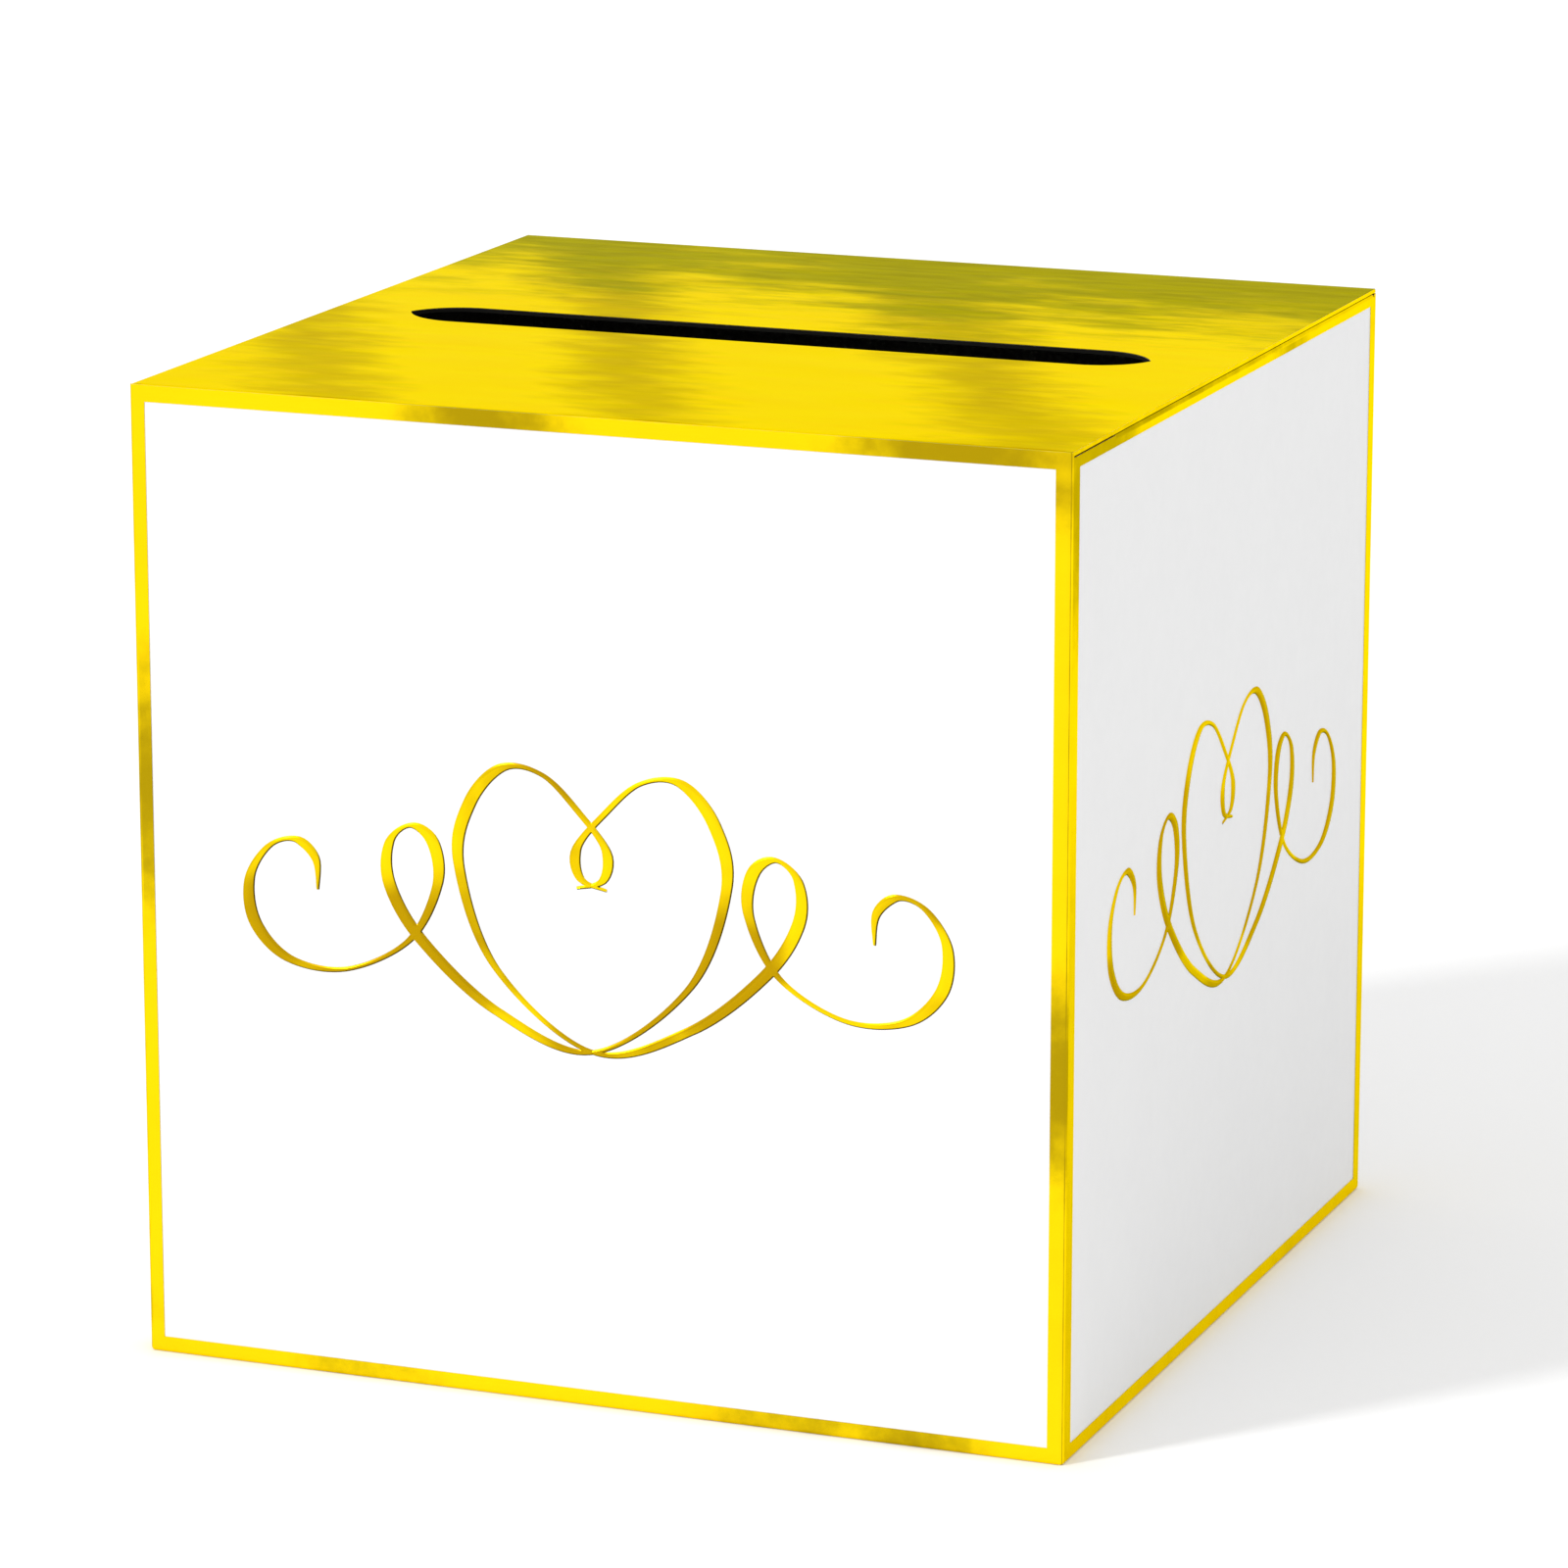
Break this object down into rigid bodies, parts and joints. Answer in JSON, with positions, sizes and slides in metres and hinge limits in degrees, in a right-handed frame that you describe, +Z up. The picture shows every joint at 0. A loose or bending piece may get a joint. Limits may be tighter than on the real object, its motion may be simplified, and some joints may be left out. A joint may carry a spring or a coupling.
{
  "type": "wedding card box",
  "caption": "Cube-shaped folding board box with a slotted tuck-in lid for cards and envelopes, gold foil lid and borders, and a foil flourish on each side.",
  "frame": {"origin": "centre of the base, on the surface the box stands on", "axes": "+Z up; the front of the box faces -Y and the lid is creased to the back wall at +Y; +X to the right seen from the front, along the card slot"},
  "size_m": [0.25, 0.252, 0.254],
  "materials": {
    "white_board": "white clay-coated face, satin, fine paper texture",
    "grey_board": "uncoated grey recycled board",
    "gold_foil": "hot-stamped gold foil, glossy, slightly streaked",
    "glue": "dried hot-melt glue"
  },
  "bodies": {
    "carton": {"front_wall": "white_board", "right_wall": "white_board", "back_wall": "white_board", "left_wall": "white_board", "front_foil_border": "gold_foil", "right_foil_border": "gold_foil", "back_foil_border": "gold_foil", "left_foil_border": "gold_foil", "front_foil_flourish": "gold_foil", "right_foil_flourish": "gold_foil", "back_foil_flourish": "gold_foil", "left_foil_flourish": "gold_foil", "seam_flap": "grey_board", "seam_glue": "glue", "bottom_main_flap": "grey_board", "bottom_right_flap": "grey_board", "bottom_left_flap": "grey_board", "bottom_lock_flap": "white_board"},
    "lid": {"lid_panel": "white_board", "lid_foil": "gold_foil"},
    "tuck": {"tuck_flap": "white_board"},
    "left_dust": {"left_dust_flap": "white_board"},
    "right_dust": {"right_dust_flap": "white_board"}
  },
  "joints": [
    {"name": "lid_hinge", "type": "hinge", "parent": "carton", "child": "lid", "pos_m": [0, 0.126, 0.254], "axis": [-1, 0, 0], "range_deg": [0, 175]},
    {"name": "tuck_hinge", "type": "hinge", "parent": "lid", "child": "tuck", "pos_m": [0, -0.12353, 0.25283], "axis": [1, 0, 0], "range_deg": [0, 80]},
    {"name": "left_dust_hinge", "type": "hinge", "parent": "carton", "child": "left_dust", "pos_m": [-0.12483, 0, 0.25263], "axis": [0, -1, 0], "range_deg": [0, 90]},
    {"name": "right_dust_hinge", "type": "hinge", "parent": "carton", "child": "right_dust", "pos_m": [0.12483, 0, 0.25263], "axis": [0, 1, 0], "range_deg": [0, 90]}
  ],
  "couplings": [
    {"joint": "left_dust_hinge", "follows": "lid_hinge", "ratio": 0.5},
    {"joint": "right_dust_hinge", "follows": "lid_hinge", "ratio": 0.5}
  ]
}
